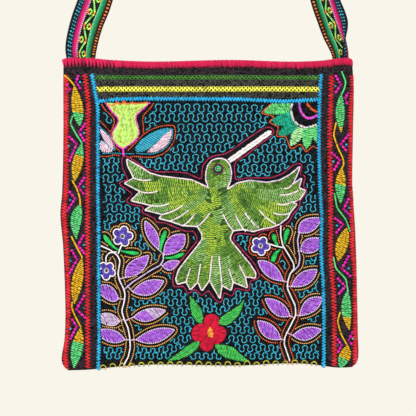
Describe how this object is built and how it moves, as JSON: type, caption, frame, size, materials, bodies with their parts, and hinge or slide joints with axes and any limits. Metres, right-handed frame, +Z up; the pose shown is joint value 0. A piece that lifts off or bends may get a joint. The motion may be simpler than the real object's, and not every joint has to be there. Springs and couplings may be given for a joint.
{
  "type": "embroidered cloth shoulder bag",
  "caption": "Flat open-topped cloth shoulder bag with an embroidered picture patch, an overcast mouth edging and a woven shoulder strap, hanging by the strap.",
  "frame": {"origin": "underside of the top of the strap, where the bag hangs", "axes": "+Z up, +X to the right of someone looking at the embroidered front, +Y away from them, so the front faces -Y"},
  "size_m": [0.298, 0.0354, 0.712],
  "materials": {
    "bag_cloth": "matte black woven wool",
    "picture_cloth": "matte black woven wool under embroidery",
    "embroidery_yarn": "soft embroidery yarn in many bright colours",
    "edging_yarn": "thick overcast pink yarn",
    "strap_weave": "warp-faced woven band in stripes"
  },
  "bodies": {
    "root": {"front_panel": "bag_cloth", "back_panel": "bag_cloth", "picture_patch": "picture_cloth", "mouth_edging": "edging_yarn", "shoulder_strap": "strap_weave"}
  },
  "joints": []
}
